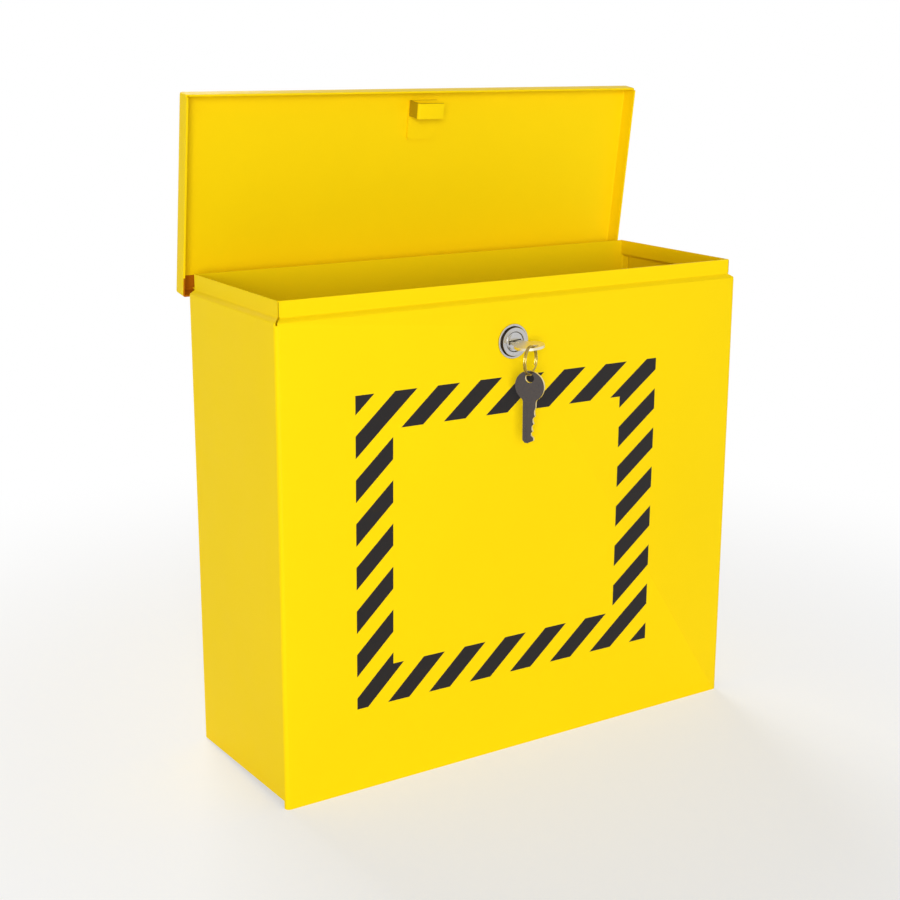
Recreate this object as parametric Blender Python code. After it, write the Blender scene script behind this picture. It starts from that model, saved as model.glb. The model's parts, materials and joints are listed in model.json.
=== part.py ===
"""A sheet steel lockout box with a piano-hinged lid, a cam lock and two keys on a split ring.

Metres, Z up, X to the right seen from the front, Y to the back. The origin is the middle of the base
panel's underside. The lid stands open and the key is in the lock.
"""

import math

import bmesh
import bpy
from mathutils import Matrix, Vector

# Whole box
WIDTH = 0.342
DEPTH = 0.120
HEIGHT = 0.310
SHEET = 0.0012
GAP = 0.0003
OVERRUN = 0.004

# Folded shell: the front hangs lower than the base and the side panels, as a lip
BASE_LIFT = 0.006
SIDE_RISE_FRONT = 0.005
SIDE_RISE_BACK = 0.0005
SIDE_CUT_START = 0.0035
BEND_RADIUS = 0.003
LEAST_RADIUS = 0.0005
BEND_STEPS = 4

# The rim is pressed inwards, so that the closed lid's skirts lie over it
RIM_STEP = 0.0034
RIM_STRAIGHT = 0.0095
RIM_SLOPE = 0.0028
RIM_SLOPE_SHARES = ((0.0, 0.0), (0.2, 0.1), (0.8, 0.9), (1.0, 1.0))
SEAM_WIDTH = 0.0005
SEAM_DEPTH = 0.0009
RELIEF_WIDTH = 0.0012
RELIEF_BELOW = 0.0012

# Back panel and base panel
BACK_BEND = 0.002
BACK_FLANGE = 0.006
BASE_FLANGE = 0.010
BASE_BEND = 0.0018
BASE_CORNER = 0.0035

# Lid
LID_SKIRT = 0.0124
LID_OVER_RIM = 0.0006
LID_FRONT_PROUD = 0.0028
LID_REAR_CLEAR = 0.0018
LID_BEND = 0.0022
LID_CORNER = 0.0014
LID_OPEN = math.radians(82)
LID_RELIEF = 0.0016

# Piano hinge
HINGE_LENGTH = 0.320
KNUCKLES = 13
BARREL_RADIUS = 0.0036
LEAF = 0.0012
PIN_RADIUS = 0.0021
HINGE_DROP = 0.0175
CASE_LEAF_REACH = 0.022
CURL_END = math.radians(-122)
CURL_STEPS = 20
PIN_OVERHANG = 0.0006

# Keeper: a strip bent to a hook under the lid
KEEPER_SHEET = 0.0014
KEEPER_DROP = 0.014
KEEPER_HOOK_LENGTH = 0.0193
KEEPER_TAB_WIDTH = 0.0215
KEEPER_HOOK_WIDTH = 0.010
KEEPER_TAB_LENGTH = 0.026
KEEPER_FROM_EDGE = 0.0077
KEEPER_RIGHT_OF_LOCK = 0.0004
KEEPER_BEND = 0.0018

# Cam lock
LOCK_LEFT = 0.0106
LOCK_BELOW_RIM = 0.0377
BEZEL_RADIUS = 0.0108
BEZEL_RIM = 0.0012
BEZEL_GROOVE = 0.0006
BOSS_RADIUS = 0.0092
BOSS_PROUD = 0.0028
BOSS_CHAMFER = 0.0003
HOUSING_RADIUS = 0.0092
HOUSING_FLAT = 0.0080
HOUSING_END = 0.0223
ROUND_STEPS = 40
STOP_LUG_WIDTH = 0.0024
STOP_LUG_INNER = 0.0073
STOP_LUG_LENGTH = 0.0013
NUT_ACROSS = 0.024
NUT_HEIGHT = 0.0035
NUT_CHAMFER = 0.0006
WASHER_RADIUS = 0.0122
WASHER_THICK = 0.0010
NUT_SIDES = 6

# Plug and what its tail carries
PLUG_RADIUS = 0.0060
PLUG_PROUD = 0.0026
PLUG_CHAMFER = 0.0003
KEYWAY_SLACK = 0.0004
TAIL_HALF = 0.0035
STOP_WASHER_RADIUS = 0.0086
STOP_WASHER_THICK = 0.0010
STOP_NOTCH_RADIUS = 0.0068
CAM_THICK = 0.0020
CAM_BOSS = 0.0080
CAM_REACH = 0.0353
CAM_UPPER = 0.0025
CAM_LOWER = 0.0070
CAM_TAB_START = 0.0026
CAM_TAB_FRONT = 0.0077
CAM_SLANT = 0.006
CAM_BEND = 0.0030
CAM_TURN = math.radians(90)
SPRING_WASHER_RADIUS = 0.0048
SPRING_WASHER_THICK = 0.0006
SCREW_HEAD_RADIUS = 0.0045
SCREW_HEAD_HEIGHT = 0.0022
SCREW_RADIUS = 0.0018
SCREW_SLOT = 0.0010
SCREW_SLOT_DEPTH = 0.0010
TAIL_WALL = 0.0011
WAFERS = 5
WAFER_THICK = 0.0009
WAFER_LENGTH = 0.0110
WAFER_WIDTH = 0.0046
FIRST_WAFER = 0.0030
WAFER_PITCH = 0.0034

# Keys
BOW_RADIUS = 0.0095
KEY_THICK = 0.0016
KEY_LENGTH = 0.0452
KEY_HOLE_RADIUS = 0.0029
KEY_HOLE_WALL = 0.0016
BLADE_HALF = 0.0042
SHOULDER_RADIUS = 0.0030
GROOVE_WIDTH = 0.0016
GROOVE_DEPTH = 0.0004
GROOVE_OFFSET = 0.0016
BITTING_DEPTH = 0.0028
BITTING_SHARES = (
    (0.10, 0.0), (0.19, 0.32), (0.27, 0.32), (0.32, 0.12), (0.38, 0.64), (0.46, 0.64), (0.51, 0.40),
    (0.57, 0.86), (0.65, 0.86), (0.69, 0.60), (0.74, 1.0), (0.80, 1.0), (0.85, 0.42), (0.92, 0.42),
)
KEY_TIP_WIDTH = 0.0034
KEY_FROM_BEZEL = 0.0055
KEY_TURN = math.radians(5)

# Split ring and the way it hangs
RING_RADIUS = 0.0088
RING_WIRE = 0.00045
RING_TURN = math.radians(-58)
RING_FROM_HOLE = 0.0054
RING_HANG = 0.00708
RING_SPACING = 0.00115
RING_CROSSING = math.radians(22)
RING_CROSSING_AT = math.radians(-50)
RING_POINTS_PER_TURN = 32
SPARE_HANG = 0.00195

# Places worked out from the sizes
BOTTOM = -BASE_LIFT
RIM_TOP = HEIGHT - BASE_LIFT
RIM_SHOULDER = RIM_TOP - RIM_STRAIGHT - RIM_SLOPE
FRONT = -DEPTH / 2
REAR = DEPTH / 2
LID_INNER = RIM_TOP + LID_OVER_RIM
LID_OUTER = LID_INNER + SHEET
LID_EDGE = LID_OUTER - LID_SKIRT
LID_FRONT = FRONT - LID_FRONT_PROUD
LID_REAR = REAR + LID_REAR_CLEAR + SHEET
HINGE_AXIS = Vector((0, REAR + GAP + BARREL_RADIUS, RIM_TOP - HINGE_DROP))
LOCK_AXIS = Vector((-LOCK_LEFT, FRONT, RIM_TOP - LOCK_BELOW_RIM))
PLUG_BORE = PLUG_RADIUS + GAP
PLUG_END = HOUSING_END + GAP
STOP_WASHER_FRONT = PLUG_END + GAP
CAM_FRONT = STOP_WASHER_FRONT + STOP_WASHER_THICK + GAP
CAM_REAR = CAM_FRONT + CAM_THICK
SPRING_WASHER_FRONT = CAM_REAR + GAP
SCREW_HEAD_FRONT = SPRING_WASHER_FRONT + SPRING_WASHER_THICK + GAP
TAIL_END = SPRING_WASHER_FRONT - GAP / 2
BEZEL_FACE = -GAP - BOSS_PROUD
BOW_CENTRE = BEZEL_FACE - KEY_FROM_BEZEL - BOW_RADIUS
HOLE_FROM_CENTRE = BOW_RADIUS - KEY_HOLE_WALL - KEY_HOLE_RADIUS
BLADE_TIP = KEY_LENGTH - BOW_RADIUS
KEYWAY_END = BOW_CENTRE + BLADE_TIP + GAP
RING_LINE = Vector((-math.sin(RING_TURN), math.cos(RING_TURN), 0))
RING_OFFSET = Vector((0, BOW_CENTRE - HOLE_FROM_CENTRE, 0)) - RING_LINE * RING_FROM_HOLE
RING_PIVOT = LOCK_AXIS + RING_OFFSET
RING_BOTTOM = RING_PIVOT - Vector((0, 0, RING_HANG + RING_RADIUS))

YELLOW = (0.91, 0.70, 0.02)
ZINC = (0.62, 0.62, 0.64)
CHROME = (0.75, 0.75, 0.78)
NICKEL = (0.35, 0.33, 0.34)
BRASS_WIRE = (0.66, 0.56, 0.32)


def clear_scene():
    for old in list(bpy.data.objects):
        bpy.data.objects.remove(old, do_unlink=True)


def principled(name, colour, roughness, metallic):
    material = bpy.data.materials.new(name)
    material.use_nodes = True
    shader = material.node_tree.nodes["Principled BSDF"]
    shader.inputs["Base Color"].default_value = (*colour, 1)
    shader.inputs["Roughness"].default_value = roughness
    shader.inputs["Metallic"].default_value = metallic
    material.diffuse_color = (*colour, 1)
    return material


def link(name, bm, smooth_below=math.radians(35)):
    """An object from a bmesh, its faces turned outwards and its curved faces shaded smooth."""
    bmesh.ops.recalc_face_normals(bm, faces=bm.faces)
    mesh = bpy.data.meshes.new(name)
    bm.to_mesh(mesh)
    bm.free()
    mesh.shade_smooth()
    mesh.set_sharp_from_angle(angle=smooth_below)
    obj = bpy.data.objects.new(name, mesh)
    bpy.context.scene.collection.objects.link(obj)
    return obj


def finish(obj, colour, roughness, metallic):
    """Each piece has a material of its own."""
    obj.data.materials.append(principled(obj.name, colour, roughness, metallic))
    return obj


def painted(obj):
    return finish(obj, YELLOW, 0.35, 0.0)


def plated(obj, colour=ZINC, roughness=0.35):
    return finish(obj, colour, roughness, 1.0)


def loft(name, loops):
    """A solid that runs through loops of equal length, with a cap on the first and the last."""
    bm = bmesh.new()
    rings = [[bm.verts.new(point) for point in loop] for loop in loops]
    for ring, following in zip(rings, rings[1:]):
        for i, vert in enumerate(ring):
            bm.faces.new((ring[i - 1], vert, following[i], following[i - 1]))
    bm.faces.new(rings[0])
    bm.faces.new(rings[-1])
    return link(name, bm)


def extrude_x(name, outline, start, end):
    return loft(name, [[(x, y, z) for y, z in outline] for x in (start, end)])


def extrude_y(name, outline, start, end):
    return loft(name, [[(x, y, z) for x, z in outline] for y in (start, end)])


def extrude_z(name, outline, start, end):
    return loft(name, [[(x, y, z) for x, y in outline] for z in (start, end)])


def boxes(name, corners):
    """One object of boxes that don't touch, each given by its lowest and highest corner."""
    bm = bmesh.new()
    for low, high in corners:
        low, high = Vector(low), Vector(high)
        place = Matrix.Translation((low + high) / 2) @ Matrix.Diagonal((*(high - low), 1))
        bmesh.ops.create_cube(bm, size=1, matrix=place)
    return link(name, bm)


def revolve_y(name, profile, steps=ROUND_STEPS):
    """A turned piece about the Y axis, from a closed or axis-to-axis profile of (radius, y) points."""
    bm = bmesh.new()
    verts = [bm.verts.new((radius, y, 0)) for radius, y in profile]
    ends_on_axis = profile[0][0] == 0 and profile[-1][0] == 0
    pairs = list(zip(verts, verts[1:]))
    if not ends_on_axis:
        pairs.append((verts[-1], verts[0]))
    edges = [bm.edges.new(pair) for pair in pairs]
    bmesh.ops.spin(
        bm, geom=verts + edges, cent=(0, 0, 0), axis=(0, 1, 0), angle=math.tau, steps=steps, use_merge=True
    )
    bmesh.ops.remove_doubles(bm, verts=bm.verts, dist=GAP / 1000)
    return link(name, bm)


def helper(obj):
    obj.hide_render = True
    obj.display_type = "WIRE"
    return obj


def combine(obj, other, operation="DIFFERENCE"):
    modifier = obj.modifiers.new(other.name, "BOOLEAN")
    modifier.object = helper(other)
    modifier.operation = operation
    modifier.solver = "EXACT"
    return obj


def empty_at(name, place, turn=(0, 0, 0)):
    empty = bpy.data.objects.new(name, None)
    empty.location = place
    empty.rotation_euler = turn
    empty.empty_display_size = OVERRUN
    bpy.context.scene.collection.objects.link(empty)
    return empty


def hang_on(empty, *objects):
    """Pieces drawn about the empty's own origin follow it."""
    for obj in objects:
        obj.parent = empty
        for modifier in obj.modifiers:
            if modifier.object.parent is None:
                hang_on(empty, modifier.object)


def draw_about(place, *objects):
    """Moves meshes that were drawn in the box's own axes, so that their origin is the given place."""
    for obj in objects:
        obj.data.transform(Matrix.Translation(-place))
        for modifier in obj.modifiers:
            draw_about(place, modifier.object)


def arc(centre, radius, start, end, steps):
    """Points of an arc from one angle to another, both ends included."""
    angles = [start + (end - start) * i / steps for i in range(steps + 1)]
    return [(centre[0] + radius * math.cos(a), centre[1] + radius * math.sin(a)) for a in angles]


def rounded_rectangle(half_width, front, rear, radius):
    """The outline of a rectangle with round corners, seen from above."""
    outline = []
    corners = ((half_width, rear), (-half_width, rear), (-half_width, front), (half_width, front))
    inwards = ((-1, -1), (1, -1), (1, 1), (-1, 1))
    for i, ((x, y), (to_x, to_y)) in enumerate(zip(corners, inwards)):
        start = math.pi / 2 * i
        outline += arc((x + to_x * radius, y + to_y * radius), radius, start, start + math.pi / 2, BEND_STEPS)
    return outline


def pan(name, half_width, front, rear, face, edge, bend, corner):
    """A shallow tray folded from sheet: a panel at one height and skirts that reach to the other."""
    up = 1 if face > edge else -1
    inner_bend = max(bend - SHEET, LEAST_RADIUS)
    quarter = arc((0, 0), 1, math.pi / 2, 0, BEND_STEPS)
    section = [
        (SHEET + inner_bend - inner_bend * out, face - up * (SHEET + inner_bend - inner_bend * rise))
        for out, rise in quarter
    ]
    section += [(SHEET, edge), (0, edge)]
    section += [(bend - bend * out, face - up * (bend - bend * rise)) for out, rise in reversed(quarter)]
    loops = []
    for inset, z in section:
        radius = max(corner - inset, LEAST_RADIUS / 2)
        outline = rounded_rectangle(half_width - inset, front + inset, rear - inset, radius)
        loops.append([(x, y, z) for x, y in outline])
    return loft(name, loops)


def wrap_loop(inset, z):
    """The cross section of the folded front and sides at one height, moved in by the inset."""
    outer_radius = max(BEND_RADIUS - inset, LEAST_RADIUS)
    lines = []
    for depth, radius in ((0, outer_radius), (SHEET, max(outer_radius - SHEET, LEAST_RADIUS / 2))):
        half = WIDTH / 2 - inset - depth
        front = FRONT + inset + depth
        line = [(-half, REAR)]
        line += arc((-half + radius, front + radius), radius, math.pi, math.pi * 3 / 2, BEND_STEPS)
        line += arc((half - radius, front + radius), radius, -math.pi / 2, 0, BEND_STEPS)
        line.append((half, REAR))
        lines.append(line)
    return [(x, y, z) for x, y in lines[0] + lines[1][::-1]]


def corner_cutter(name, side, width, inner, bottom, top):
    """An upright blade that cuts into the rim's corner along the diagonal, from outside to a depth."""
    blade = boxes(name, [((-OVERRUN, -width / 2, bottom), (inner, width / 2, top))])
    blade.rotation_euler = (0, 0, math.radians(45 if side < 0 else 135))
    blade.location = (side * (WIDTH / 2 - RIM_STEP), FRONT + RIM_STEP, 0)
    return blade


def double_d(radius, flat, steps=ROUND_STEPS):
    """A circle with two upright flats."""
    angle = math.acos(flat / radius)
    right = arc((0, 0), radius, angle, math.pi - angle, steps // 2)
    left = arc((0, 0), radius, math.pi + angle, math.tau - angle, steps // 2)
    return right + left


def make_shell():
    levels = [(0, BOTTOM)]
    for up, inwards in RIM_SLOPE_SHARES:
        levels.append((inwards * RIM_STEP, RIM_SHOULDER + up * RIM_SLOPE))
    levels.append((RIM_STEP, RIM_TOP))
    shell = loft("front_and_sides", [wrap_loop(inset, z) for inset, z in levels])
    below = BOTTOM - OVERRUN
    behind = REAR + OVERRUN
    slope = (SIDE_RISE_BACK - SIDE_RISE_FRONT) / (DEPTH - SIDE_CUT_START)
    wedge = [
        (FRONT + SIDE_CUT_START, below),
        (behind, below),
        (behind, BOTTOM + SIDE_RISE_BACK + slope * OVERRUN),
        (FRONT + SIDE_CUT_START, BOTTOM + SIDE_RISE_FRONT),
    ]
    combine(shell, extrude_x("side_edge_cut", wedge, -WIDTH / 2 - OVERRUN, WIDTH / 2 + OVERRUN))
    hole = double_d(HOUSING_RADIUS + GAP, HOUSING_FLAT + GAP)
    hole = [(LOCK_AXIS.x + x, LOCK_AXIS.z + z) for x, z in hole]
    combine(shell, extrude_y("lock_hole_cut", hole, FRONT - OVERRUN, FRONT + OVERRUN))
    straight = RIM_TOP - RIM_STRAIGHT
    for side, word in ((-1, "left"), (1, "right")):
        seam = corner_cutter(f"{word}_seam_cut", side, SEAM_WIDTH, SEAM_DEPTH, straight, RIM_TOP + OVERRUN)
        combine(shell, seam)
        low = RIM_SHOULDER - RELIEF_BELOW
        high = straight + SEAM_WIDTH
        relief = corner_cutter(f"{word}_relief_cut", side, RELIEF_WIDTH, SHEET * 2, low, high)
        combine(shell, relief)
    return painted(shell)


def make_back_panel():
    half = WIDTH / 2 - SHEET - GAP
    outer = arc((half - BACK_BEND, REAR - BACK_BEND), BACK_BEND, 0, math.pi / 2, BEND_STEPS)
    inner_bend = BACK_BEND - SHEET
    inner = arc((half - BACK_BEND, REAR - BACK_BEND), inner_bend, 0, math.pi / 2, BEND_STEPS)
    half_line = [(half, REAR - BACK_FLANGE)] + outer
    half_inner = [(half - SHEET, REAR - BACK_FLANGE)] + inner
    outline = half_line + [(-x, y) for x, y in half_line[::-1]]
    outline += [(-x, y) for x, y in half_inner] + half_inner[::-1]
    panel = extrude_z("back_panel", outline, BOTTOM, RIM_TOP)
    low = REAR - BACK_FLANGE - OVERRUN
    high = REAR + OVERRUN
    far = WIDTH / 2
    above = RIM_TOP + OVERRUN
    beside_rim = [(far, above), (far, RIM_SHOULDER - GAP)]
    for up, inwards in RIM_SLOPE_SHARES:
        beside_rim.append((half - inwards * RIM_STEP, RIM_SHOULDER + up * RIM_SLOPE - GAP))
    beside_rim.append((half - RIM_STEP, above))
    for side, word in ((-1, "left"), (1, "right")):
        outline = [(side * x, z) for x, z in beside_rim]
        combine(panel, extrude_y(f"{word}_rim_clearance_cut", outline, low, high))
    above_base = BASE_FLANGE + GAP
    flange_foot = ((-far, low, BOTTOM - OVERRUN), (far, REAR - SHEET, above_base))
    combine(panel, boxes("flange_foot_cut", [flange_foot]))
    return painted(panel)


def make_base_panel():
    inset = SHEET + GAP
    tray = pan(
        "base_panel", WIDTH / 2 - inset, FRONT + inset, REAR - inset, 0, BASE_FLANGE, BASE_BEND, BASE_CORNER
    )
    return painted(tray)


def make_leaf(name, direction, reach, first_gap):
    """A hinge leaf about its pin: a plate that reaches up or down and knuckles curled from its edge."""
    inner = BARREL_RADIUS - LEAF
    curl = arc((0, 0), BARREL_RADIUS, math.pi, CURL_END, CURL_STEPS)
    curl += arc((0, 0), inner, CURL_END, math.pi, CURL_STEPS)
    outline = [(-BARREL_RADIUS, -reach)] + curl + [(-inner, -reach)]
    outline = [(y, -direction * z) for y, z in outline]
    leaf = extrude_x(name, outline, -HINGE_LENGTH / 2, HINGE_LENGTH / 2)
    pitch = HINGE_LENGTH / KNUCKLES
    room = BARREL_RADIUS + GAP
    gaps = []
    for i in range(first_gap, KNUCKLES, 2):
        start = -HINGE_LENGTH / 2 + i * pitch - GAP / 2
        end = start + pitch + GAP
        start -= OVERRUN if i == 0 else 0
        end += OVERRUN if i == KNUCKLES - 1 else 0
        gaps.append(((start, -room, -room), (end, room, room)))
    combine(leaf, boxes(f"{name}_gap_cut", gaps))
    return painted(leaf)


def make_hinge_pin():
    half = HINGE_LENGTH / 2 + PIN_OVERHANG
    chamfer = PIN_OVERHANG
    profile = [(0, -half), (PIN_RADIUS - chamfer, -half), (PIN_RADIUS, -half + chamfer)]
    profile += [(radius, -y) for radius, y in reversed(profile)]
    pin = revolve_y("hinge_pin", profile, ROUND_STEPS // 2)
    pin.data.transform(Matrix.Rotation(math.pi / 2, 4, "Z"))
    return plated(pin)


def make_lid_pan():
    lid = pan("lid_pan", WIDTH / 2, LID_FRONT, LID_REAR, LID_OUTER, LID_EDGE, LID_BEND, LID_CORNER)
    notch = LID_RELIEF
    reliefs = []
    for side in (-1, 1):
        middle = side * WIDTH / 2
        low = (middle - notch, LID_FRONT - OVERRUN, LID_EDGE - OVERRUN)
        high = (middle + notch, LID_FRONT + notch, LID_EDGE + notch)
        reliefs.append((low, high))
    combine(lid, boxes("lid_relief_cut", reliefs))
    return painted(lid)


def make_keeper():
    """The hook opens to the right, and its tab lies flat on the lid's inner face."""
    left = LOCK_AXIS.x + KEEPER_RIGHT_OF_LOCK
    top = LID_INNER - GAP
    bottom = LID_INNER - KEEPER_DROP
    tab_right = left + KEEPER_TAB_WIDTH
    hook_right = left + KEEPER_HOOK_LENGTH
    inner_bend = KEEPER_BEND - KEEPER_SHEET
    upper = (left + KEEPER_BEND, top - KEEPER_BEND)
    lower = (left + KEEPER_BEND, bottom + KEEPER_BEND)
    outline = [(tab_right, top)]
    outline += arc(upper, KEEPER_BEND, math.pi / 2, math.pi, BEND_STEPS)
    outline += arc(lower, KEEPER_BEND, math.pi, math.pi * 3 / 2, BEND_STEPS)
    outline += [(hook_right, bottom), (hook_right, bottom + KEEPER_SHEET)]
    outline += arc(lower, inner_bend, math.pi * 3 / 2, math.pi, BEND_STEPS)
    outline += arc(upper, inner_bend, math.pi, math.pi / 2, BEND_STEPS)
    outline.append((tab_right, top - KEEPER_SHEET))
    front = LID_FRONT + KEEPER_FROM_EDGE
    keeper = extrude_y("lock_keeper", outline, front, front + KEEPER_HOOK_WIDTH)
    overlap = KEEPER_HOOK_WIDTH / 2
    rounded = rounded_rectangle(
        KEEPER_TAB_WIDTH / 2, front + overlap, front + KEEPER_TAB_LENGTH, KEEPER_BEND
    )
    middle = left + KEEPER_TAB_WIDTH / 2
    rounded = [(middle + x, y) for x, y in rounded]
    tab = extrude_z("keeper_tab", rounded, top - KEEPER_SHEET, top)
    return painted(combine(keeper, tab, "UNION"))


def make_housing():
    """The lock's fixed body: bezel, raised face and threaded barrel with two flats, bored for the plug."""
    seat = -GAP
    rim_front = seat - BEZEL_RIM
    groove = seat - BEZEL_GROOVE
    boss_side = BOSS_RADIUS - BOSS_CHAMFER / 2
    profile = [
        (PLUG_BORE, HOUSING_END),
        (HOUSING_RADIUS, HOUSING_END),
        (HOUSING_RADIUS, seat),
        (BEZEL_RADIUS, seat),
        (BEZEL_RADIUS, rim_front + BOSS_CHAMFER),
        (BEZEL_RADIUS - BOSS_CHAMFER, rim_front),
        (BOSS_RADIUS + BOSS_CHAMFER, rim_front),
        (BOSS_RADIUS + BOSS_CHAMFER / 2, groove),
        (BOSS_RADIUS, groove),
        (boss_side, BEZEL_FACE + BOSS_CHAMFER),
        (boss_side - BOSS_CHAMFER, BEZEL_FACE),
        (PLUG_BORE + PLUG_CHAMFER, BEZEL_FACE),
        (PLUG_BORE, BEZEL_FACE + PLUG_CHAMFER),
    ]
    housing = revolve_y("lock_housing", profile)
    far = HOUSING_RADIUS + OVERRUN
    behind = HOUSING_END + OVERRUN
    beside = [
        ((start, -GAP / 2, -far), (end, behind, far))
        for start, end in ((-far, -HOUSING_FLAT), (HOUSING_FLAT, far))
    ]
    combine(housing, boxes("housing_flat_cut", beside))
    lug_low = (-STOP_LUG_WIDTH / 2, HOUSING_END - GAP, STOP_LUG_INNER)
    lug_high = (STOP_LUG_WIDTH / 2, HOUSING_END + STOP_LUG_LENGTH, BOSS_RADIUS - BOSS_CHAMFER)
    combine(housing, boxes("stop_lug", [(lug_low, lug_high)]), "UNION")
    return plated(housing, CHROME, 0.12)


def make_nut():
    hole = HOUSING_RADIUS + GAP
    front = SHEET + GAP + WASHER_THICK + GAP
    corner = NUT_ACROSS / 2 / math.cos(math.pi / NUT_SIDES)
    rear = front + NUT_HEIGHT
    profile = [
        (hole, front),
        (hole, rear),
        (NUT_ACROSS / 2, rear),
        (corner, rear - NUT_CHAMFER),
        (corner, front + NUT_CHAMFER),
        (NUT_ACROSS / 2, front),
    ]
    nut = revolve_y("lock_nut", profile)
    sides = arc((0, 0), corner, 0, math.tau, NUT_SIDES)[:-1]
    combine(nut, extrude_y("nut_sides", sides, front - OVERRUN, rear + OVERRUN), "INTERSECT")
    return plated(nut)


def make_nut_washer():
    front = SHEET + GAP
    rear = front + WASHER_THICK
    hole = HOUSING_RADIUS + GAP
    profile = [(hole, front), (hole, rear), (WASHER_RADIUS, rear), (WASHER_RADIUS, front)]
    return plated(revolve_y("nut_washer", profile))


def make_plug():
    """The turning core: keyway, wafer slots, and a square tail tapped for the cam screw."""
    face = -GAP - PLUG_PROUD
    profile = [
        (0, face),
        (PLUG_RADIUS - PLUG_CHAMFER, face),
        (PLUG_RADIUS, face + PLUG_CHAMFER),
        (PLUG_RADIUS, PLUG_END),
        (0, PLUG_END),
    ]
    plug = revolve_y("lock_plug", profile)
    tail_start = PLUG_END - PLUG_CHAMFER
    tail = boxes("plug_tail", [((-TAIL_HALF, tail_start, -TAIL_HALF), (TAIL_HALF, TAIL_END, TAIL_HALF))])
    combine(plug, tail, "UNION")
    half = BLADE_HALF + KEYWAY_SLACK
    high = KEY_THICK / 2 + KEYWAY_SLACK
    combine(plug, boxes("keyway_cut", [((-half, face - OVERRUN, -high), (half, KEYWAY_END, high))]))
    slots = []
    for i in range(WAFERS):
        middle = FIRST_WAFER + i * WAFER_PITCH
        reach = WAFER_THICK / 2 + GAP
        tall = WAFER_WIDTH / 2 + GAP
        slots.append(((-PLUG_BORE, middle - reach, -tall), (PLUG_BORE, middle + reach, tall)))
    combine(plug, boxes("wafer_slot_cut", slots))
    bore = SCREW_RADIUS + GAP
    bottom = KEYWAY_END + TAIL_WALL
    hole = [(0, bottom), (bore, bottom), (bore, TAIL_END + OVERRUN), (0, TAIL_END + OVERRUN)]
    combine(plug, revolve_y("screw_hole_cut", hole, ROUND_STEPS // 2))
    return plated(plug, CHROME, 0.2)


def make_wafer(number):
    """A flat tumbler with a window, which the inserted key draws in flush with the plug."""
    middle = FIRST_WAFER + number * WAFER_PITCH
    near = middle - WAFER_THICK / 2
    far = middle + WAFER_THICK / 2
    half = WAFER_LENGTH / 2
    tall = WAFER_WIDTH / 2
    wafer = boxes(f"wafer_{number + 1}", [((-half, near, -tall), (half, far, tall))])
    window_half = BLADE_HALF + KEYWAY_SLACK
    window_tall = KEY_THICK / 2 + KEYWAY_SLACK
    low = (-window_half, near - GAP, -window_tall)
    high = (window_half, far + GAP, window_tall)
    combine(wafer, boxes(f"wafer_{number + 1}_window_cut", [(low, high)]))
    return plated(wafer, BRASS_WIRE, 0.3)


def make_stop_washer():
    """A washer keyed to the tail, cut away over the cam's quarter turn so that the housing's lug stops it."""
    rear = STOP_WASHER_FRONT + STOP_WASHER_THICK
    margin = math.asin(STOP_LUG_WIDTH / STOP_LUG_INNER)
    start = math.pi / 2 - CAM_TURN - margin
    end = math.pi / 2 + margin
    outline = arc((0, 0), STOP_WASHER_RADIUS, end, math.tau + start, ROUND_STEPS)
    outline += arc((0, 0), STOP_NOTCH_RADIUS, start, end, ROUND_STEPS // 2)
    washer = extrude_y("stop_washer", outline, STOP_WASHER_FRONT, rear)
    hole = TAIL_HALF + GAP
    cut = boxes("stop_washer_hole_cut", [((-hole, STOP_WASHER_FRONT - GAP, -hole), (hole, rear + GAP, hole))])
    return plated(combine(washer, cut))


def make_cam():
    """The latch: a flat arm on the tail whose end is bent forwards to hook into the keeper."""
    upper = math.asin(CAM_UPPER / CAM_BOSS)
    lower = math.tau - math.asin(CAM_LOWER / CAM_BOSS)
    outline = arc((0, 0), CAM_BOSS, upper, lower, ROUND_STEPS)
    plate_end = CAM_REACH - CAM_BEND
    outline += [(plate_end, -CAM_LOWER), (plate_end, -CAM_TAB_START), (plate_end - CAM_SLANT, CAM_UPPER)]
    cam = extrude_y("cam", outline, CAM_FRONT, CAM_REAR)
    inner_bend = CAM_BEND - CAM_THICK
    centre = (CAM_REACH - CAM_BEND, CAM_REAR - CAM_BEND)
    strip = [(CAM_BOSS, CAM_FRONT), (CAM_BOSS, CAM_REAR)]
    strip += arc(centre, CAM_BEND, math.pi / 2, 0, BEND_STEPS)
    strip += [(CAM_REACH, CAM_TAB_FRONT), (CAM_REACH - CAM_THICK, CAM_TAB_FRONT)]
    strip += arc(centre, inner_bend, 0, math.pi / 2, BEND_STEPS)
    tab = extrude_z("cam_tab", strip, -CAM_LOWER, -CAM_TAB_START)
    combine(cam, tab, "UNION")
    hole = TAIL_HALF + GAP
    cut = boxes("cam_hole_cut", [((-hole, CAM_FRONT - GAP, -hole), (hole, CAM_REAR + GAP, hole))])
    return plated(combine(cam, cut))


def make_spring_washer():
    rear = SPRING_WASHER_FRONT + SPRING_WASHER_THICK
    hole = SCREW_RADIUS + GAP
    front = SPRING_WASHER_FRONT
    profile = [(hole, front), (hole, rear), (SPRING_WASHER_RADIUS, rear), (SPRING_WASHER_RADIUS, front)]
    return plated(revolve_y("spring_washer", profile, ROUND_STEPS // 2))


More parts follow.
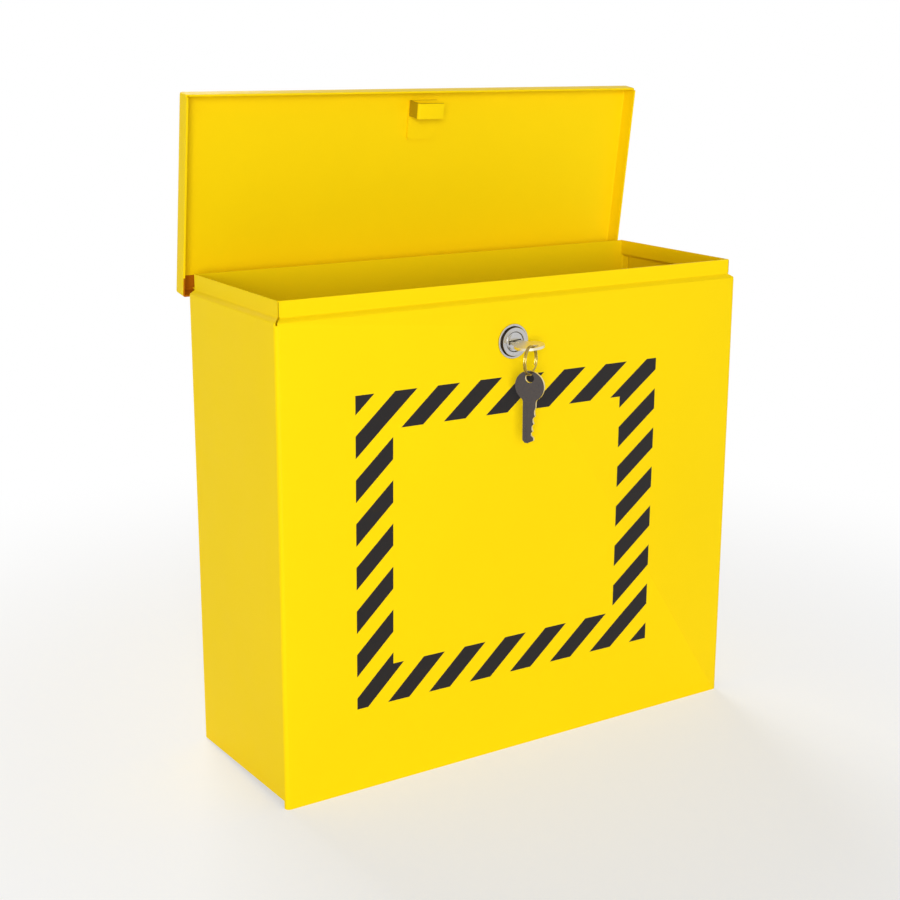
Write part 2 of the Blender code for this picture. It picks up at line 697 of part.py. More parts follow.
def make_cam_screw():
    """A pan head screw in the tail, with a cross recess."""
    start = KEYWAY_END + TAIL_WALL + GAP
    rear = SCREW_HEAD_FRONT + SCREW_HEAD_HEIGHT
    shoulder = SCREW_HEAD_HEIGHT / 2
    profile = [(0, start), (SCREW_RADIUS, start), (SCREW_RADIUS, SCREW_HEAD_FRONT)]
    profile += [(SCREW_HEAD_RADIUS, SCREW_HEAD_FRONT), (SCREW_HEAD_RADIUS, rear - shoulder)]
    profile += [(SCREW_HEAD_RADIUS - shoulder, rear), (0, rear)]
    screw = revolve_y("cam_screw", profile, ROUND_STEPS // 2)
    half = SCREW_SLOT / 2
    long = SCREW_HEAD_RADIUS - shoulder
    floor = rear - SCREW_SLOT_DEPTH
    slot = boxes("screw_slot_cut", [((-long, floor, -half), (long, rear + OVERRUN, half))])
    cross = boxes("screw_cross_cut", [((-half, floor, -long), (half, rear + OVERRUN, long))])
    return plated(combine(combine(screw, slot), cross))


def key_outline():
    """A round bow, shoulders, a straight spine on the left and the bitting on the right."""
    far = BOW_RADIUS + SHOULDER_RADIUS
    side = BLADE_HALF + SHOULDER_RADIUS
    rise = math.sqrt(far * far - side * side)
    meet = math.atan2(rise, side)
    outline = arc((0, 0), BOW_RADIUS, math.pi - meet, math.tau + meet, ROUND_STEPS)
    outline += arc((side, rise), SHOULDER_RADIUS, math.pi + meet, math.pi, BEND_STEPS)
    length = BLADE_TIP - rise
    for along, deep in BITTING_SHARES:
        outline.append((BLADE_HALF - deep * BITTING_DEPTH, rise + along * length))
    tip_left = -BLADE_HALF + KEY_TIP_WIDTH / 2
    outline += [(-BLADE_HALF + KEY_TIP_WIDTH, BLADE_TIP), (tip_left, BLADE_TIP)]
    outline.append((-BLADE_HALF, BLADE_TIP - KEY_TIP_WIDTH / 2))
    outline += arc((-side, rise), SHOULDER_RADIUS, 0, -meet, BEND_STEPS)
    return outline


def make_key(name):
    """A key drawn flat about its bow's middle, with the blade towards +Y."""
    half = KEY_THICK / 2
    key = extrude_z(name, key_outline(), -half, half)
    hole = arc((0, -HOLE_FROM_CENTRE), KEY_HOLE_RADIUS, 0, math.tau, ROUND_STEPS // 2)[:-1]
    combine(key, extrude_z(f"{name}_hole_cut", hole, -half - OVERRUN, half + OVERRUN))
    left = -GROOVE_OFFSET - GROOVE_WIDTH / 2
    start = BOW_RADIUS
    grooves = [
        ((left, start, side[0]), (left + GROOVE_WIDTH, BLADE_TIP + OVERRUN, side[1]))
        for side in ((-half - OVERRUN, -half + GROOVE_DEPTH), (half - GROOVE_DEPTH, half + OVERRUN))
    ]
    combine(key, boxes(f"{name}_groove_cut", grooves))
    return plated(key, NICKEL, 0.3)


def make_key_ring():
    """Two turns of wire side by side, with one crossing, drawn about the swing axis at the bow."""
    points = []
    sweep = 2 * (math.tau - RING_CROSSING)
    count = int(2 * RING_POINTS_PER_TURN)
    for i in range(count + 1):
        turned = sweep * i / count - sweep / 2
        across = max(-1, min(1, turned / RING_CROSSING))
        angle = RING_CROSSING_AT + turned
        points.append(
            (
                RING_SPACING / 2 * math.sin(across * math.pi / 2),
                RING_RADIUS * math.cos(angle),
                -RING_HANG + RING_RADIUS * math.sin(angle),
            )
        )
    curve = bpy.data.curves.new("key_ring", "CURVE")
    curve.dimensions = "3D"
    curve.bevel_depth = RING_WIRE
    curve.bevel_resolution = 2
    curve.use_fill_caps = True
    spline = curve.splines.new("POLY")
    spline.points.add(len(points) - 1)
    for point, place in zip(spline.points, points):
        point.co = (*place, 1)
    ring = bpy.data.objects.new("key_ring", curve)
    bpy.context.scene.collection.objects.link(ring)
    return plated(ring, BRASS_WIRE, 0.25)


def make_case():
    make_shell()
    make_back_panel()
    make_base_panel()
    hinge = empty_at("case_hinge_place", HINGE_AXIS)
    hang_on(hinge, make_leaf("case_hinge_leaf", -1, CASE_LEAF_REACH, 1), make_hinge_pin())
    lock = empty_at("lock_place", LOCK_AXIS)
    hang_on(lock, make_housing(), make_nut(), make_nut_washer())


def make_lid():
    axis = empty_at("lid_axis", HINGE_AXIS, (-LID_OPEN, 0, 0))
    pieces = [make_lid_pan(), make_keeper()]
    draw_about(HINGE_AXIS, *pieces)
    leaf_reach = LID_INNER - GAP - HINGE_AXIS.z
    leaf = make_leaf("lid_hinge_leaf", 1, leaf_reach, 0)
    hang_on(axis, leaf, *pieces)


def make_lock_core():
    axis = empty_at("plug_axis", LOCK_AXIS, (0, -KEY_TURN, 0))
    pieces = [make_plug(), make_stop_washer(), make_cam(), make_spring_washer(), make_cam_screw()]
    pieces += [make_wafer(number) for number in range(WAFERS)]
    key = make_key("key_in_lock")
    hang_on(axis, key, *pieces)
    for obj in (key, *(modifier.object for modifier in key.modifiers)):
        obj.location = (0, BOW_CENTRE, 0)


def make_hanging_keys():
    ring_axis = empty_at("ring_axis", RING_PIVOT, (0, 0, RING_TURN))
    hang_on(ring_axis, make_key_ring())
    spare_axis = empty_at("spare_key_axis", RING_BOTTOM, (0, 0, RING_TURN))
    spare = make_key("spare_key")
    hang_on(spare_axis, spare)
    for obj in (spare, *(modifier.object for modifier in spare.modifiers)):
        obj.location = (0, 0, -SPARE_HANG - HOLE_FROM_CENTRE)
        obj.rotation_euler = (-math.pi / 2, 0, 0)


clear_scene()
make_case()
make_lid()
make_lock_core()
make_hanging_keys()
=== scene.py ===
"""The finishes, striped border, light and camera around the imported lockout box.

Metres, Z up, the frame's own axes: X to the right seen from the front, Y from the front to the hinge.
"""

import json
import math

import bmesh
import bpy
from mathutils import Matrix, Vector

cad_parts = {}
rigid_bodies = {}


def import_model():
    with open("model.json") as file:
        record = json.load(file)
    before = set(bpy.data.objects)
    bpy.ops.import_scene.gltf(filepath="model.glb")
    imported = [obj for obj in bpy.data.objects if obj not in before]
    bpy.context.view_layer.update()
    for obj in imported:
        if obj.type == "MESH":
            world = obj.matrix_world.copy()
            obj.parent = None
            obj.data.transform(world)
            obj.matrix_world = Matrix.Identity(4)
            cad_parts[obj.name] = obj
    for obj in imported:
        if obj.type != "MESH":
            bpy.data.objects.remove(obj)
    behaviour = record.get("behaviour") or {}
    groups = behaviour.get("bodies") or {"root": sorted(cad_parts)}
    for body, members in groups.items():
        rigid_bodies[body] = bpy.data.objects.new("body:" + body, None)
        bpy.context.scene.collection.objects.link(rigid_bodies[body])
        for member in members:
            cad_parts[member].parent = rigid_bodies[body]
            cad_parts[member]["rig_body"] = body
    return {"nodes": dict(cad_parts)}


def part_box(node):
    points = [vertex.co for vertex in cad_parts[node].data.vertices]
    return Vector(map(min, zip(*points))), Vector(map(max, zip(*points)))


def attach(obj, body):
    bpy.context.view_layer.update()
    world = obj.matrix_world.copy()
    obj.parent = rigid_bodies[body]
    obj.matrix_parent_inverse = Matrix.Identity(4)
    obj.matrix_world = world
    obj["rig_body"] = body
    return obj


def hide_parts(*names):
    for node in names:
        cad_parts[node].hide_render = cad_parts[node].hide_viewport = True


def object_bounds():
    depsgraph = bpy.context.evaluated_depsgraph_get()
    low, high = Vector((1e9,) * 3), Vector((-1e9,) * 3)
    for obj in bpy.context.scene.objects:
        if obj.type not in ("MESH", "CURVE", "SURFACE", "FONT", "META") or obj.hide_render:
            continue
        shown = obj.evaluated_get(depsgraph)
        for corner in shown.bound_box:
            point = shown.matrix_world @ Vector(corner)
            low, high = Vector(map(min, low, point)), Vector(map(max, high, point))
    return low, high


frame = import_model()
cad_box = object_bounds()
case_low, case_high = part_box("front_and_sides")

# Camera, from the fit of the photographed edges. Shares are of the picture's width and height.
CAMERA_PLACE = Vector((-0.548624, -0.843039, 0.450994))
CAMERA_YAW = -0.585
CAMERA_PITCH = -0.245
CAMERA_ROLL = -0.009
SENSOR = 36.0
FOCAL_SHARE = 1569.204 / 900
CENTRE_ACROSS = 485.501 / 900
CENTRE_DOWN = 424.093 / 900
CLIP_START = 0.01

# Striped border on the front panel, from the panel's left edge and the case's lower edge
BORDER_LEFT = 0.0495
BORDER_RIGHT = 0.2747
BORDER_BOTTOM = 0.0536
BORDER_TOP = 0.2503
BORDER_TURN = math.radians(0.3)
LEFT_BAND = 0.0254
RIGHT_BAND = 0.0294
BOTTOM_BAND = 0.0247
TOP_BAND = 0.0228

# Stripes, counted from a point in the border's foot. They grow slowly wider to the right and downwards.
STRIPE_MIDDLE = 0.162
STRIPE_FOOT = 0.0525
STRIPE_START = -0.0954
STRIPE_PITCH = 0.0315
STRIPE_SLOPE = 0.9073
STRIPE_SHARE = 0.514
SPREAD_ACROSS = 0.4176
SPREAD_UP = -0.2168
STRIPE_NUMBERS = range(-10, 16)
INK_THICK = 0.00006

# A slanting direction in which no two of the border's faces lie level, which lists them in one order
FACE_ORDER = Vector((0.53, 41.0, 0.31))

# Broken edges of painted pieces, plated pieces, keys and the ring's wire
PAINT_EDGE = 0.00035
PLATE_EDGE = 0.00012
KEY_EDGE = 0.00028
WIRE_EDGE = 0.00003
EDGE_STEPS = 2
EDGE_FROM = math.radians(50)

# What counts as one point, one flat face and one smooth curve
MERGE = 1e-6
FLAT_BELOW = math.radians(0.2)
SMOOTH_BELOW = math.radians(40)

# Faces that take a second material, of painted shade or a painted glint: the share of a face's direction
# that lies along another or an axis, the smallest web of the keeper, and the foot of the lid's inner face
SAME_WAY = 0.9
ACROSS = 0.3
WEB_AREA = 0.00004
FOOT_BELOW_RIM = 0.0036
LID_FOOT = case_high.z - FOOT_BELOW_RIM

# Rim of the case, its rear welds and its open seams in front
RIM_STRAIGHT = 0.0095
RIM_SLOPE = 0.0028
RIM_STEP = 0.0034
SHEET = 0.0012
WELD = 0.0006
SEAM = 0.00022
SEAM_FROM_TOP = 0.0006
SEAM_FROM_REAR = 0.0010
BEAD_STEPS = 2

# Radii on the lock's front where the shoulder's painted dark reflection begins and ends, and its turned
# rings
SHOULDER_START = (0.00885, 0.00895)
SHOULDER_END = (0.0094, 0.0095)
TURNED_RINGS = 4200

# Finishes. Colours are as a picture shows them, 0 to 255. SHADES are the darkest and lightest share of
# a colour. ROUGH is the least roughness and what a noise adds to it. PATCHES, POLISH, WAVES, PEEL and
# WEAR are a noise's scale and detail, and a SHEEN is the strength of a coat's plain reflections.
YELLOW = (248, 213, 10)
# The next colour is painted shade on the keeper's web, and the front seams' own dark colour
SHADE_AND_SEAM_OLIVE = (178, 148, 14)
# The next colour is painted shade at the hinge end of the lid's inner face
LID_FOOT_SHADE_BROWN = (172, 98, 8)
POWDER_SHADES = (0.97, 1.03)
POWDER_PATCHES = (9.0, 2.0)
POWDER_POLISH = (60.0, 2.0)
POWDER_ROUGH = (0.36, 0.12)
POWDER_SHEEN = 0.035
SHEET_WAVES = (14.0, 1.0)
WAVE_DEPTH = 0.0004
ORANGE_PEEL = (900.0, 1.0)
PEEL_DEPTH = 0.00002

BLACK = (37, 34, 34)
INK_SHADES = (0.92, 1.08)
INK_PATCHES = (30.0, 2.0)
INK_POLISH = (150.0, 2.0)
INK_ROUGH = (0.42, 0.1)
INK_SHEEN = 0.15
INK_DEPTH = 0.00001

CHROME = (205, 204, 203)
CHROME_SHADES = (0.66, 1.12)
CHROME_WEAR = (700.0, 3.0)
WEAR_SHARES = (0.55, 0.45)
CHROME_ROUGH = (0.14, 0.16)
TURNED_DETAIL = 2.0
TURNED_DEPTH = 0.00001
# The shoulder's colour is a painted dark reflection
SHOULDER_PAINTED_REFLECTION = (66, 58, 48)
SHOULDER_ROUGH = 0.2

# Metals: a colour, a roughness and the scale of the grain
ZINC = ((190, 192, 196), 0.35, 300.0)
BRASS = ((214, 180, 110), 0.3, 300.0)
WIRE = ((176, 156, 92), 0.32, 300.0)
# The two nickels are one metal: a painted shaded copy for the spare key, and a painted lit copy for the
# key in the lock and the spare key's edges
PAINTED_SHADE_NICKEL = ((92, 86, 84), 0.3, 500.0)
PAINTED_HIGHLIGHT_NICKEL = ((240, 230, 198), 0.36, 500.0)
METAL_SHADES = (0.82, 1.0)
METAL_ROUGH = (0.7, 0.6)
METAL_DETAIL = 3.0
METAL_DEPTH = 0.000004
FINER = 4
FINE_DETAIL = 2.0

# Floor and light
FLOOR_HALF = 8.0
FLOOR_SHADE = 0.96
FADE_START = 0.25
FADE_END = 0.7
WHITE_SHARE = 0.5
WHITE = (1, 1, 1, 1)
SKY = 0.42
LAMP_TARGET = Vector((0, 0, 0.15))
LAMPS = (
    ("key_light", Vector((-2.7, -4.5, 1.05)), 2.0, 188),
    ("fill_light", Vector((0.6, 4.2, 3.0)), 2.4, 120),
)

# Sockets that go by number: an object's own coordinates, and the colours in and out of a Mix node
OBJECT_PLACE = 3
MIX_FIRST = 6
MIX_SECOND = 7
MIX_COLOUR = 2

# Pieces by finish
PAINTED_PIECES = ("front_and_sides", "back_panel", "base_panel", "case_hinge_leaf", "lid_hinge_leaf")
CHROMED_PIECES = ("lock_housing", "lock_plug")
ZINC_PIECES = ("hinge_pin", "lock_nut", "nut_washer", "stop_washer", "cam", "spring_washer", "cam_screw")
BRASS_PIECES = ("wafer_1", "wafer_2", "wafer_3", "wafer_4", "wafer_5")


class Socket:
    """A node's output, with the operators that the materials use."""

    def __init__(self, work, output):
        self.work = work
        self.output = output

    def _math(self, operation, first, second):
        return self.work.node("ShaderNodeMath", {"operation": operation}, {0: first, 1: second})[0]

    def __add__(self, other):
        return self._math("ADD", self, other)

    __radd__ = __add__

    def __sub__(self, other):
        return self._math("SUBTRACT", self, other)

    def __rsub__(self, other):
        return self._math("SUBTRACT", other, self)

    def __mul__(self, other):
        return self._math("MULTIPLY", self, other)

    __rmul__ = __mul__

    def larger(self, other):
        return self._math("MAXIMUM", self, other)


class NodeWork:
    """The nodes of a material or of the surroundings, all made by one method."""

    def __init__(self, owner):
        owner.use_nodes = True
        self.owner = owner
        self.tree = owner.node_tree
        self.tree.nodes.clear()

    def node(self, kind, settings=None, values=None):
        """A new node's outputs, once its settings and then its values and links are in."""
        made = self.tree.nodes.new(kind)
        for name, value in (settings or {}).items():
            setattr(made, name, value)
        for key, value in (values or {}).items():
            if isinstance(value, Socket):
                self.tree.links.new(value.output, made.inputs[key])
            else:
                made.inputs[key].default_value = value
        return [Socket(self, output) for output in made.outputs]

    def place(self):
        return self.node("ShaderNodeTexCoord")[OBJECT_PLACE]

    def noise(self, scale, detail, along=None):
        """Noise over the piece, or along one measure only."""
        vector = self.place()
        if along is not None:
            vector = self.node("ShaderNodeCombineXYZ", {}, {"X": along})[0]
        return self.node("ShaderNodeTexNoise", {}, {"Vector": vector, "Scale": scale, "Detail": detail})[0]

    def blend(self, share, first, second):
        values = {0: share, MIX_FIRST: first, MIX_SECOND: second}
        return self.node("ShaderNodeMix", {"data_type": "RGBA"}, values)[MIX_COLOUR]

    def shades(self, share, base, darkest, lightest):
        """A written colour between its darkest and lightest shade."""
        return self.blend(share, tint(base, darkest), tint(base, lightest))

    def ramp(self, value, start, end):
        """0 below the start, 1 above the end."""
        values = {"Value": value, "From Min": start, "From Max": end}
        return self.node("ShaderNodeMapRange", {"interpolation_type": "SMOOTHSTEP"}, values)[0]

    def from_axis(self, box):
        """The distance from a line that runs front to back through the middle of a box."""
        middle = (box[0] + box[1]) / 2
        values = {0: self.place(), 1: (1, 0, 1)}
        flat = self.node("ShaderNodeVectorMath", {"operation": "MULTIPLY"}, values)[0]
        values = {0: flat, 1: (middle.x, 0, middle.z)}
        return self.node("ShaderNodeVectorMath", {"operation": "DISTANCE"}, values)[1]

    def background_share(self):
        """1 for the rays that show the background, 0 for those that only light the object."""
        rays = {ray.output.name: ray for ray in self.node("ShaderNodeLightPath")}
        seen = rays["Is Camera Ray"].larger(rays["Is Glossy Ray"])
        return seen.larger(rays["Is Transmission Ray"])

    def surface(self, values, reliefs):
        """The finished material, with its reliefs one over the other."""
        for height, depth in reliefs:
            relief = {"Height": height, "Distance": depth, "Strength": 1.0}
            if "Normal" in values:
                relief["Normal"] = values["Normal"]
            values = {**values, "Normal": self.node("ShaderNodeBump", {}, relief)[0]}
        shader = self.node("ShaderNodeBsdfPrincipled", {}, values)[0]
        self.node("ShaderNodeOutputMaterial", {}, {"Surface": shader})
        return self.owner


def finish_work(name):
    return NodeWork(bpy.data.materials.new(name))


def linear(value):
    """A picture's value, 0 to 255, as the shader's own."""
    value /= 255
    return value / 12.92 if value <= 0.04045 else ((value + 0.055) / 1.055) ** 2.4


def tint(base, factor):
    """A written colour, lighter or darker by a factor, as a shader's colour."""
    return (*(min(linear(value) * factor, 1) for value in base), 1)


def powder_coat(name, base):
    """Powder coat: fine orange peel, slightly wavy sheet and a slow change of shade."""
    work = finish_work(name)
    shade = work.shades(work.noise(*POWDER_PATCHES), base, *POWDER_SHADES)
    rough = POWDER_ROUGH[0] + work.noise(*POWDER_POLISH) * POWDER_ROUGH[1]
    reliefs = ((work.noise(*SHEET_WAVES), WAVE_DEPTH), (work.noise(*ORANGE_PEEL), PEEL_DEPTH))
    values = {"Base Color": shade, "Roughness": rough, "Specular IOR Level": POWDER_SHEEN}
    return work.surface(values, reliefs)


def ink(name):
    """Printed film, a warm near black."""
    work = finish_work(name)
    shade = work.shades(work.noise(*INK_PATCHES), BLACK, *INK_SHADES)
    rough = INK_ROUGH[0] + work.noise(*INK_POLISH) * INK_ROUGH[1]
    values = {"Base Color": shade, "Roughness": rough, "Specular IOR Level": INK_SHEEN}
    return work.surface(values, ((work.noise(*ORANGE_PEEL), INK_DEPTH),))


def metal(name, base, roughness, grain):
    """Plated metal with a fine grain and a patchy polish."""
    work = finish_work(name)
    patches = work.noise(grain, METAL_DETAIL)
    shade = work.shades(patches, base, *METAL_SHADES)
    rough = roughness * METAL_ROUGH[0] + patches * (roughness * METAL_ROUGH[1])
    values = {"Base Color": shade, "Roughness": rough, "Metallic": 1.0}
    return work.surface(values, ((work.noise(grain * FINER, FINE_DETAIL), METAL_DEPTH),))


def lock_chrome(name):
    """Chromed die casting with turned rings on its face, and a dull shoulder below the rim with a painted
    dark reflection.
    """
    work = finish_work(name)
    radius = work.from_axis(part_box("lock_plug"))
    turned = work.noise(1.0, TURNED_DETAIL, along=radius * TURNED_RINGS)
    # The ring on the shoulder takes a painted dark reflection
    shoulder = work.ramp(radius, *SHOULDER_START) * (1 - work.ramp(radius, *SHOULDER_END))
    worn = turned * WEAR_SHARES[0] + work.noise(*CHROME_WEAR) * WEAR_SHARES[1]
    face = work.shades(worn, CHROME, *CHROME_SHADES)
    shade = work.blend(shoulder, face, tint(SHOULDER_PAINTED_REFLECTION, 1.0))
    rough = CHROME_ROUGH[0] + turned * CHROME_ROUGH[1] + shoulder * SHOULDER_ROUGH
    values = {"Base Color": shade, "Roughness": rough, "Metallic": 1.0}
    return work.surface(values, ((turned, TURNED_DEPTH),))


def put(name, data):
    """A new object in the scene."""
    obj = bpy.data.objects.new(name, data)
    bpy.context.scene.collection.objects.link(obj)
    return obj


def shaped(name, bm, material):
    """A new object of the finished mesh."""
    mesh = bpy.data.meshes.new(name)
    bm.to_mesh(mesh)
    bm.free()
    mesh.materials.append(material)
    return put(name, mesh)


# The spare key's edges, which take a painted glint
def is_painted_glint_edge(face, flat):
    return abs(face.normal.dot(flat)) < SAME_WAY


def is_keeper_web(face, flat):
    """The keeper's web, between its plate and the lid, which takes a darker olive as painted shade."""
    return abs(face.normal.dot(flat)) < SAME_WAY and face.area > WEB_AREA


def is_lid_foot(face, flat):
    """The hinge end of the lid's inner face, which takes a red-brown painted shade."""
    inner = face.normal.y < ACROSS and face.normal.z > -ACROSS and abs(face.normal.x) < ACROSS
    return inner and face.center.z < LID_FOOT


def dressed(node, material, edge, second=None, is_second=None, cut=None, edge_material=-1):
    """A finished copy of a frame node: its flat faces whole, its edges broken and its curves smooth.

    The faces that is_second picks take the second material. A cut splits the faces at a height. The
    broken edges take the material numbered edge_material, or their neighbours' if that is -1.
    """
    source = frame["nodes"][node]
    bm = bmesh.new()
    bm.from_mesh(source.data)
    bmesh.ops.remove_doubles(bm, verts=bm.verts, dist=MERGE)
    bmesh.ops.dissolve_limit(bm, angle_limit=FLAT_BELOW, verts=bm.verts, edges=bm.edges)
    if cut is not None:
        whole = [*bm.verts, *bm.edges, *bm.faces]
        bmesh.ops.bisect_plane(bm, geom=whole, dist=MERGE, plane_co=(0, 0, cut), plane_no=(0, 0, 1))
    bmesh.ops.recalc_face_normals(bm, faces=bm.faces)
    piece = shaped(f"{node}_finished", bm, material)
    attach(piece, source["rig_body"])
    piece.data.shade_smooth()
    piece.data.set_sharp_from_angle(angle=SMOOTH_BELOW)
    bevel = piece.modifiers.new("edge", "BEVEL")
    bevel.width = edge
    bevel.segments = EDGE_STEPS
    bevel.limit_method = "ANGLE"
    bevel.angle_limit = EDGE_FROM
    bevel.harden_normals = True
    bevel.material = edge_material
    if second:
        piece.data.materials.append(second)
        flat = max(piece.data.polygons, key=lambda face: face.area).normal.copy()
        for face in piece.data.polygons:
            face.material_index = int(is_second(face, flat))
    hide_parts(node)


def bead(name, points, radius, material):
    """A run of weld or a seam, as a round bead through a few points on the case."""
    curve = bpy.data.curves.new(name, "CURVE")
    curve.dimensions = "3D"
    curve.bevel_depth = radius
    curve.bevel_resolution = BEAD_STEPS
    curve.use_fill_caps = True
    line = curve.splines.new("POLY")
    line.points.add(len(points) - 1)
    for point, place in zip(line.points, points):
        point.co = (*place, 1)
    curve.materials.append(material)
    obj = put(name, curve)
    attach(obj, "case")


def make_seams(coat, dark):
    """The welded rear corners of the rim, and the open seams at its front corners."""
    top = case_high.z - SEAM_FROM_TOP
    slope_top = case_high.z - RIM_STRAIGHT
    shoulder = slope_top - RIM_SLOPE
    rear = case_high.y - SEAM_FROM_REAR
    rim = [vert.co for vert in frame["nodes"]["front_and_sides"].data.vertices if vert.co.z > slope_top]
    for hand, side, face in (("left", -1, case_low.x), ("right", 1, case_high.x)):
        inner = face - side * (RIM_STEP + SHEET)
        outer = face - side * (SHEET + WELD)
        down_the_rim = ((inner, rear, top), (inner, rear, slope_top))
        over_the_slope = ((outer, rear, shoulder), (outer, rear, shoulder - WELD))
        bead(f"rear_weld_{hand}", down_the_rim + over_the_slope, WELD, coat)
        corner = max(rim, key=lambda place: side * place.x - place.y)
        seam = ((corner.x, corner.y, top), (corner.x, corner.y, slope_top))
        bead(f"front_seam_{hand}", seam, SEAM, dark)


def spread(distance, rate):
    """How far along the pattern a distance is, where the stripes grow slowly wider."""
    return distance - rate * distance * distance


def unspread(run, rate):
    """The distance whose run along the pattern is known."""
    return (1 - math.sqrt(1 - 4 * rate * run)) / (2 * rate)


def stripe_edge(number, band):
    """A point on one stripe's edge in the middle of a band, and the edge's rise over its run there."""
    left, right, bottom, top = band
    start = STRIPE_START + STRIPE_PITCH * number
    if right - left > top - bottom:
        up = (bottom + top) / 2 - STRIPE_FOOT
        across = unspread(start + spread(up, SPREAD_UP) / STRIPE_SLOPE, SPREAD_ACROSS)
    else:
        across = (left + right) / 2 - STRIPE_MIDDLE
        up = unspread(STRIPE_SLOPE * (spread(across, SPREAD_ACROSS) - start), SPREAD_UP)
    rise = STRIPE_SLOPE * (1 - 2 * SPREAD_ACROSS * across) / (1 - 2 * SPREAD_UP * up)
    return (STRIPE_MIDDLE + across, STRIPE_FOOT + up), rise


def cut_stripe(bm, band, number):
    """A rectangle of film over the band, trimmed to one slanting stripe."""
    left, right, bottom, top = band
    place = Matrix.Translation(((left + right) / 2, 0, (bottom + top) / 2))
    place = place @ Matrix.Rotation(math.pi / 2, 4, "X")
    place = place @ Matrix.Diagonal((right - left, top - bottom, 1, 1))
    corners = bmesh.ops.create_grid(bm, x_segments=1, y_segments=1, size=0.5, matrix=place)["verts"]
    faces = dict.fromkeys(face for vert in corners for face in vert.link_faces)
    edges = dict.fromkeys(edge for vert in corners for edge in vert.link_edges)
    piece = [*corners, *edges, *faces]
    for edge_number, side in ((number, -1), (number + STRIPE_SHARE, 1)):
        (x, z), rise = stripe_edge(edge_number, band)
        across = Vector((rise, 0, -1)) * side
        piece = bmesh.ops.bisect_plane(
            bm, geom=piece, dist=MERGE, plane_co=(x, 0, z), plane_no=across, clear_outer=True
        )["geom"]
        piece = [item for item in piece if item.is_valid]
        if not piece:
            return


def make_border():
    """The traditional black and yellow slanting stripes, as a printed film on the front panel."""
    left, right = BORDER_LEFT, BORDER_RIGHT
    bottom, top = BORDER_BOTTOM, BORDER_TOP
    bands = (
        (left, right, bottom, bottom + BOTTOM_BAND),
        (left, right, top - TOP_BAND, top),
        (left, left + LEFT_BAND, bottom + BOTTOM_BAND, top - TOP_BAND),
        (right - RIGHT_BAND, right, bottom + BOTTOM_BAND, top - TOP_BAND),
    )
    bm = bmesh.new()
    for band in bands:
        for number in STRIPE_NUMBERS:
            cut_stripe(bm, band, number)
    bmesh.ops.remove_doubles(bm, verts=bm.verts, dist=MERGE)
    bmesh.ops.dissolve_limit(bm, angle_limit=FLAT_BELOW, verts=bm.verts, edges=bm.edges)
    film = bmesh.ops.extrude_face_region(bm, geom=bm.faces[:], use_keep_orig=True)
    raised = [item for item in film["geom"] if isinstance(item, bmesh.types.BMVert)]
    bmesh.ops.translate(bm, verts=raised, vec=(0, -INK_THICK, 0))
    middle = Vector(((left + right) / 2, 0, (bottom + top) / 2))
    bmesh.ops.rotate(bm, verts=bm.verts, cent=middle, matrix=Matrix.Rotation(BORDER_TURN, 3, "Y"))
    bmesh.ops.translate(bm, verts=bm.verts, vec=(case_low.x, case_low.y + INK_THICK / 4, case_low.z))
    bmesh.ops.recalc_face_normals(bm, faces=bm.faces)
    bm.faces.sort(key=lambda face: face.calc_center_median().dot(FACE_ORDER))
    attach(shaped("striped_border", bm, ink("border_ink")), "case")


def make_floor(level):
    """A white floor that takes the box's shadow and fades into the white background."""
    work = finish_work("floor_white")
    matt = work.node("ShaderNodeBsdfDiffuse", {}, {"Color": (FLOOR_SHADE, FLOOR_SHADE, FLOOR_SHADE, 1)})[0]
    white = work.node("ShaderNodeEmission", {}, {"Color": WHITE, "Strength": 1.0})[0]
    away = work.node("ShaderNodeVectorMath", {"operation": "LENGTH"}, {0: work.place()})[1]
    faded = work.ramp(away, FADE_START, FADE_END) * (1 - WHITE_SHARE) + WHITE_SHARE
    share = work.background_share() * faded
    mixed = work.node("ShaderNodeMixShader", {}, {0: share, 1: matt, 2: white})[0]
    work.node("ShaderNodeOutputMaterial", {}, {"Surface": mixed})
    bm = bmesh.new()
    place = Matrix.Translation((0, 0, level))
    bmesh.ops.create_grid(bm, x_segments=1, y_segments=1, size=FLOOR_HALF, matrix=place)
    shaped("floor", bm, work.owner)


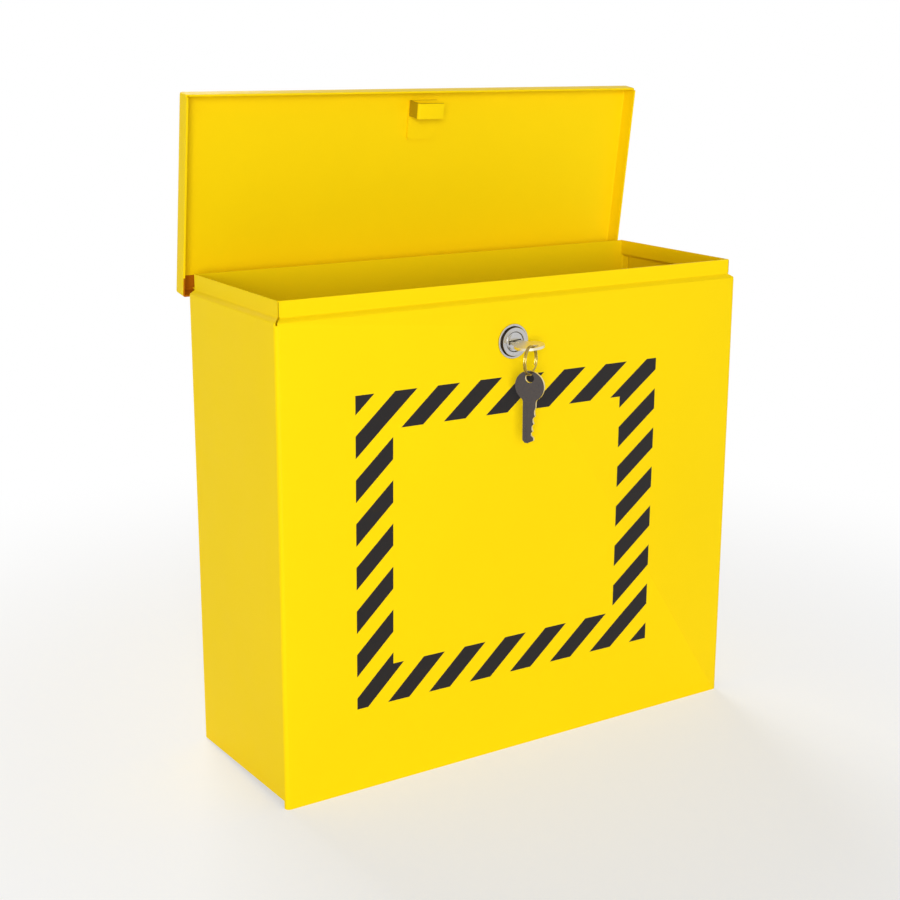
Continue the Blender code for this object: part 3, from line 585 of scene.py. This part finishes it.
def make_light():
    """A soft white studio, with a large key lamp in front and a fill lamp behind."""
    world = bpy.data.worlds.new("studio")
    bpy.context.scene.world = world
    work = NodeWork(world)
    lit = work.node("ShaderNodeBackground", {}, {"Color": WHITE, "Strength": SKY})[0]
    seen = work.node("ShaderNodeBackground", {}, {"Color": WHITE, "Strength": 1.0})[0]
    mixed = work.node("ShaderNodeMixShader", {}, {0: work.background_share(), 1: lit, 2: seen})[0]
    work.node("ShaderNodeOutputWorld", {}, {"Surface": mixed})
    for name, place, size, power in LAMPS:
        lamp = bpy.data.lights.new(name, "AREA")
        lamp.size = size
        lamp.energy = power
        obj = put(name, lamp)
        obj.location = place
        obj.rotation_euler = (LAMP_TARGET - place).to_track_quat("-Z", "Y").to_euler()


def make_camera():
    """The photograph's camera, from the fit."""
    data = bpy.data.cameras.new("camera")
    data.sensor_width = SENSOR
    data.lens = FOCAL_SHARE * SENSOR
    data.shift_x = 0.5 - CENTRE_ACROSS
    data.shift_y = CENTRE_DOWN - 0.5
    data.clip_start = CLIP_START
    camera = put("camera", data)
    turn = Matrix.Rotation(CAMERA_YAW, 3, "Z") @ Matrix.Rotation(CAMERA_PITCH, 3, "X")
    turn = turn @ Matrix.Rotation(CAMERA_ROLL, 3, "Y") @ Matrix.Rotation(math.pi / 2, 3, "X")
    camera.rotation_euler = turn.to_euler()
    camera.location = CAMERA_PLACE
    bpy.context.scene.camera = camera
    bpy.context.scene.view_settings.view_transform = "Standard"


yellow = powder_coat("yellow_powder_coat", YELLOW)
# A darker olive: painted shade on the keeper's web, and the dark colour of the open front seams
shade_and_seam_olive = powder_coat("painted_shade_and_seam_olive", SHADE_AND_SEAM_OLIVE)
# A red-brown painted shade for the hinge end of the lid's inner face, in the crevice by the case
lid_foot_shade = powder_coat("lid_foot_painted_shade", LID_FOOT_SHADE_BROWN)
chrome = lock_chrome("lock_chrome")
zinc = metal("zinc_plate", *ZINC)
brass = metal("wafer_brass", *BRASS)
painted_shade_nickel = metal("painted_shade_nickel", *PAINTED_SHADE_NICKEL)
painted_highlight_nickel = metal("painted_highlight_nickel", *PAINTED_HIGHLIGHT_NICKEL)
wire = metal("ring_wire", *WIRE)

for node in PAINTED_PIECES:
    dressed(node, yellow, PAINT_EDGE)
# The keeper's web takes the painted shade
dressed("lock_keeper", yellow, PAINT_EDGE, shade_and_seam_olive, is_keeper_web)
# The lid's inner face takes the painted shade at its hinge end, below the rim
dressed("lid_pan", yellow, PAINT_EDGE, lid_foot_shade, is_lid_foot, LID_FOOT)
make_seams(yellow, shade_and_seam_olive)
for node in CHROMED_PIECES:
    dressed(node, chrome, PLATE_EDGE)
for node in ZINC_PIECES:
    dressed(node, zinc, PLATE_EDGE)
for node in BRASS_PIECES:
    dressed(node, brass, PLATE_EDGE)
# The key in the lock takes the painted lit nickel; the spare key the painted shaded nickel, with a painted
# glint on its edges
dressed("key_in_lock", painted_highlight_nickel, KEY_EDGE)
dressed("spare_key", painted_shade_nickel, KEY_EDGE, painted_highlight_nickel, is_painted_glint_edge, edge_material=1)
dressed("key_ring", wire, WIRE_EDGE)

make_border()
make_floor(cad_box[0].z)
make_light()
make_camera()
